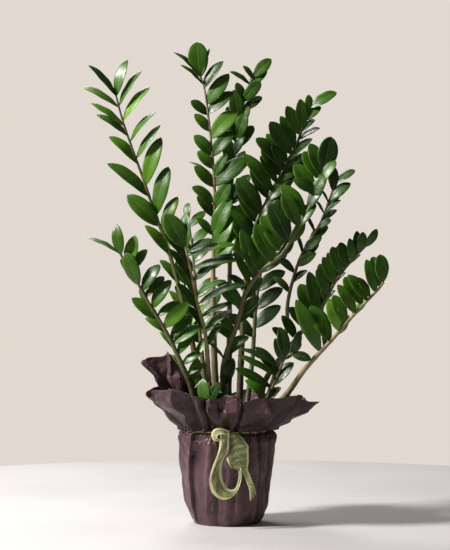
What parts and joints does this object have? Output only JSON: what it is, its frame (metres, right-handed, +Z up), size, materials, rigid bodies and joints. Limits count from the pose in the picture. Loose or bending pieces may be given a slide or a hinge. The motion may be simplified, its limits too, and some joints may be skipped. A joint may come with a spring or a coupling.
{
  "type": "potted zz plant",
  "caption": "Upright house plant with arching fronds of glossy leaflets, in a nursery pot wrapped in gathered plum paper and tied with a sheer green ribbon bow.",
  "frame": {"origin": "on the floor, under the middle of the pot", "axes": "+Z up along the plant, -Y towards the front where the bow hangs, +X to the right as seen from the front"},
  "size_m": [0.5409, 0.2724, 0.863],
  "materials": {
    "paper": "satin",
    "pot_plastic": "matte",
    "soil": "matte",
    "ribbon": "satin",
    "foliage": "gloss"
  },
  "bodies": {
    "root": {"paper_wrap": "paper", "nursery_pot": "pot_plastic", "potting_soil": "soil", "ribbon_band": "ribbon", "ribbon_knot": "ribbon", "ribbon_curl": "ribbon", "ribbon_loop": "ribbon", "ribbon_fold": "ribbon", "ribbon_tail": "ribbon", "frond_a": "foliage", "frond_b": "foliage", "frond_c": "foliage", "frond_d": "foliage", "frond_e": "foliage", "frond_f": "foliage", "frond_g": "foliage", "frond_h": "foliage", "frond_i": "foliage", "frond_j": "foliage", "frond_k": "foliage", "frond_l": "foliage", "frond_m": "foliage", "frond_n": "foliage"}
  },
  "joints": []
}
